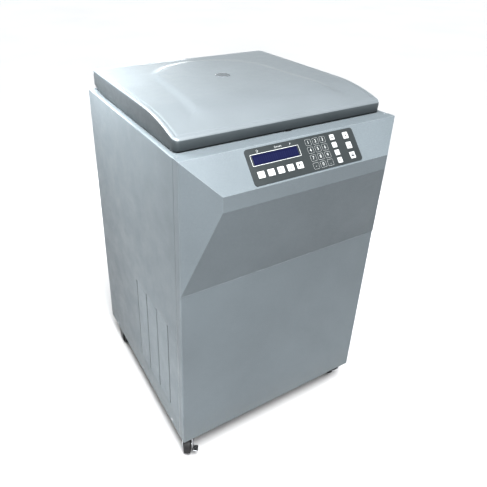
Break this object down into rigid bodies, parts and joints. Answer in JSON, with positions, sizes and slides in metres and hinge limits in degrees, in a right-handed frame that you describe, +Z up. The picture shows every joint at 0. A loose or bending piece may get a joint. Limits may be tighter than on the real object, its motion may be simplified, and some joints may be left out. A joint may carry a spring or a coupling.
{
  "type": "laboratory centrifuge",
  "caption": "Floor-standing refrigerated laboratory centrifuge: steel cabinet on casters, hinged lid over a swing-bucket rotor, and a faceted console with display and keys.",
  "frame": {"origin": "on the floor, under the middle of the whole object's bounding box", "axes": "+Z up, -Y towards the front console, +X to the right for a person facing the front"},
  "size_m": [0.6024, 0.673, 0.9828],
  "materials": {
    "cabinet_paint": "fine textured satin powder coat",
    "frame_steel": "satin",
    "lid_skin": "satin moulded skin",
    "lid_liner_metal": "brushed",
    "port_glass": "glossy window",
    "overlay_film": "satin film",
    "display_pane": "glossy",
    "key_white": "satin",
    "board_green": "solder mask",
    "bowl_steel": "brushed",
    "seal_rubber": "matt",
    "guard_steel": "raw",
    "copper_pipe": "bright",
    "machine_black": "gloss enamel",
    "fin_metal": "mill",
    "fan_black": "moulded",
    "rotor_metal": "anodised",
    "bucket_metal": "satin anodised",
    "spindle_steel": "ground",
    "zinc_steel": "zinc plate",
    "wheel_rubber": "matt",
    "inlet_black": "moulded",
    "spout_nylon": "moulded"
  },
  "bodies": {
    "root": {"base_tray": "frame_steel", "frame_posts": "frame_steel", "drive_deck": "frame_steel", "front_panel": "cabinet_paint", "console_hood": "cabinet_paint", "left_side_panel": "cabinet_paint", "right_side_panel": "cabinet_paint", "rear_panel": "cabinet_paint", "top_deck": "cabinet_paint", "panel_screws": "zinc_steel", "keypad_overlay": "overlay_film", "display_window": "display_pane", "control_board": "board_green", "chamber_bowl": "bowl_steel", "chamber_seal": "seal_rubber", "guard_ring": "guard_steel", "evaporator_coil": "copper_pipe", "drive_motor": "machine_black", "rubber_mounts": "seal_rubber", "compressor": "machine_black", "condenser": "fin_metal", "fan_frame": "fan_black", "hinge_brackets": "zinc_steel", "mains_inlet": "inlet_black", "drain_spout": "spout_nylon"},
    "lid": {"lid_shell": "lid_skin", "lid_liner": "lid_liner_metal", "lid_sight_port": "port_glass", "lid_striker": "zinc_steel", "lid_hinge_arms": "zinc_steel"},
    "latch": {"latch_hook": "zinc_steel"},
    "rotor": {"drive_spindle": "spindle_steel", "rotor_yoke": "rotor_metal", "rotor_nut": "spindle_steel"},
    "fan": {"fan_rotor": "fan_black"},
    "rocker": {"power_rocker": "inlet_black"},
    "bucket_right": {"bucket_right": "bucket_metal"},
    "bucket_rear": {"bucket_rear": "bucket_metal"},
    "bucket_left": {"bucket_left": "bucket_metal"},
    "bucket_front": {"bucket_front": "bucket_metal"},
    "display_key_1": {"display_key_1": "key_white"},
    "display_key_2": {"display_key_2": "key_white"},
    "display_key_3": {"display_key_3": "key_white"},
    "display_key_4": {"display_key_4": "key_white"},
    "display_key_5": {"display_key_5": "key_white"},
    "entry_key_1": {"entry_key_1": "key_white"},
    "entry_key_2": {"entry_key_2": "key_white"},
    "entry_key_3": {"entry_key_3": "key_white"},
    "entry_key_4": {"entry_key_4": "key_white"},
    "run_key_1": {"run_key_1": "key_white"},
    "run_key_2": {"run_key_2": "key_white"},
    "run_key_3": {"run_key_3": "key_white"},
    "front_left_caster": {"front_left_caster_fork": "zinc_steel"},
    "front_left_wheel": {"front_left_wheel": "wheel_rubber"},
    "front_left_brake": {"front_left_brake_pedal": "zinc_steel"},
    "rear_left_wheel": {"rear_left_wheel": "wheel_rubber"},
    "front_right_caster": {"front_right_caster_fork": "zinc_steel"},
    "front_right_wheel": {"front_right_wheel": "wheel_rubber"},
    "front_right_brake": {"front_right_brake_pedal": "zinc_steel"},
    "rear_right_wheel": {"rear_right_wheel": "wheel_rubber"}
  },
  "joints": [
    {"name": "lid_hinge", "type": "hinge", "parent": "root", "child": "lid", "pos_m": [0, 0.2875, 0.93], "axis": [-1, 0, 0], "range_deg": [0, 75]},
    {"name": "latch_swing", "type": "hinge", "parent": "root", "child": "latch", "pos_m": [0, -0.2385, 0.868], "axis": [-1, 0, 0], "range_deg": [0, 10]},
    {"name": "rotor_spin", "type": "hinge", "parent": "root", "child": "rotor", "pos_m": [0, 0.0175, 0.8], "axis": [0, 0, 1], "continuous": true},
    {"name": "fan_spin", "type": "hinge", "parent": "root", "child": "fan", "pos_m": [-0.182, -0.0865, 0.265], "axis": [1, 0, 0], "continuous": true},
    {"name": "rocker_tilt", "type": "hinge", "parent": "root", "child": "rocker", "pos_m": [0.19, 0.3075, 0.215], "axis": [1, 0, 0], "range_deg": [-8, 8]},
    {"name": "bucket_right_swing", "type": "hinge", "parent": "rotor", "child": "bucket_right", "pos_m": [0.105, 0.0175, 0.816], "axis": [0, -1, 0], "range_deg": [0, 90]},
    {"name": "bucket_rear_swing", "type": "hinge", "parent": "rotor", "child": "bucket_rear", "pos_m": [0, 0.1225, 0.816], "axis": [1, 0, 0], "range_deg": [0, 90]},
    {"name": "bucket_left_swing", "type": "hinge", "parent": "rotor", "child": "bucket_left", "pos_m": [-0.105, 0.0175, 0.816], "axis": [0, 1, 0], "range_deg": [0, 90]},
    {"name": "bucket_front_swing", "type": "hinge", "parent": "rotor", "child": "bucket_front", "pos_m": [0, -0.0875, 0.816], "axis": [-1, 0, 0], "range_deg": [0, 90]},
    {"name": "display_key_1_press", "type": "slide", "parent": "root", "child": "display_key_1", "axis": [0, 0.7655, -0.6435], "range_m": [0, 0.0005], "stiffness_N_per_m": 800, "springref_m": -0.0005},
    {"name": "display_key_2_press", "type": "slide", "parent": "root", "child": "display_key_2", "axis": [0, 0.7655, -0.6435], "range_m": [0, 0.0005], "stiffness_N_per_m": 800, "springref_m": -0.0005},
    {"name": "display_key_3_press", "type": "slide", "parent": "root", "child": "display_key_3", "axis": [0, 0.7655, -0.6435], "range_m": [0, 0.0005], "stiffness_N_per_m": 800, "springref_m": -0.0005},
    {"name": "display_key_4_press", "type": "slide", "parent": "root", "child": "display_key_4", "axis": [0, 0.7655, -0.6435], "range_m": [0, 0.0005], "stiffness_N_per_m": 800, "springref_m": -0.0005},
    {"name": "display_key_5_press", "type": "slide", "parent": "root", "child": "display_key_5", "axis": [0, 0.7655, -0.6435], "range_m": [0, 0.0005], "stiffness_N_per_m": 800, "springref_m": -0.0005},
    {"name": "entry_key_1_press", "type": "slide", "parent": "root", "child": "entry_key_1", "axis": [0, 0.7655, -0.6435], "range_m": [0, 0.0005], "stiffness_N_per_m": 800, "springref_m": -0.0005},
    {"name": "entry_key_2_press", "type": "slide", "parent": "root", "child": "entry_key_2", "axis": [0, 0.7655, -0.6435], "range_m": [0, 0.0005], "stiffness_N_per_m": 800, "springref_m": -0.0005},
    {"name": "entry_key_3_press", "type": "slide", "parent": "root", "child": "entry_key_3", "axis": [0, 0.7655, -0.6435], "range_m": [0, 0.0005], "stiffness_N_per_m": 800, "springref_m": -0.0005},
    {"name": "entry_key_4_press", "type": "slide", "parent": "root", "child": "entry_key_4", "axis": [0, 0.7655, -0.6435], "range_m": [0, 0.0005], "stiffness_N_per_m": 800, "springref_m": -0.0005},
    {"name": "run_key_1_press", "type": "slide", "parent": "root", "child": "run_key_1", "axis": [0, 0.7655, -0.6435], "range_m": [0, 0.0005], "stiffness_N_per_m": 800, "springref_m": -0.0005},
    {"name": "run_key_2_press", "type": "slide", "parent": "root", "child": "run_key_2", "axis": [0, 0.7655, -0.6435], "range_m": [0, 0.0005], "stiffness_N_per_m": 800, "springref_m": -0.0005},
    {"name": "run_key_3_press", "type": "slide", "parent": "root", "child": "run_key_3", "axis": [0, 0.7655, -0.6435], "range_m": [0, 0.0005], "stiffness_N_per_m": 800, "springref_m": -0.0005},
    {"name": "front_left_swivel", "type": "hinge", "parent": "root", "child": "front_left_caster", "pos_m": [-0.27, -0.2425, 0.07], "axis": [0, 0, 1], "continuous": true},
    {"name": "front_left_wheel_spin", "type": "hinge", "parent": "front_left_caster", "child": "front_left_wheel", "pos_m": [-0.278, -0.25636, 0.025], "axis": [-0.866, 0.5, 0], "continuous": true},
    {"name": "front_left_brake_press", "type": "hinge", "parent": "front_left_caster", "child": "front_left_brake", "pos_m": [-0.263, -0.23038, 0.048], "axis": [-0.866, 0.5, 0], "range_deg": [0, 15]},
    {"name": "rear_left_wheel_spin", "type": "hinge", "parent": "root", "child": "rear_left_wheel", "pos_m": [-0.281, 0.2315, 0.025], "axis": [1, 0, 0], "continuous": true},
    {"name": "front_right_swivel", "type": "hinge", "parent": "root", "child": "front_right_caster", "pos_m": [0.27, -0.2425, 0.07], "axis": [0, 0, 1], "continuous": true},
    {"name": "front_right_wheel_spin", "type": "hinge", "parent": "front_right_caster", "child": "front_right_wheel", "pos_m": [0.27, -0.2265, 0.025], "axis": [1, 0, 0], "continuous": true},
    {"name": "front_right_brake_press", "type": "hinge", "parent": "front_right_caster", "child": "front_right_brake", "pos_m": [0.27, -0.2565, 0.048], "axis": [1, 0, 0], "range_deg": [0, 15]},
    {"name": "rear_right_wheel_spin", "type": "hinge", "parent": "root", "child": "rear_right_wheel", "pos_m": [0.281, 0.2315, 0.025], "axis": [1, 0, 0], "continuous": true}
  ]
}
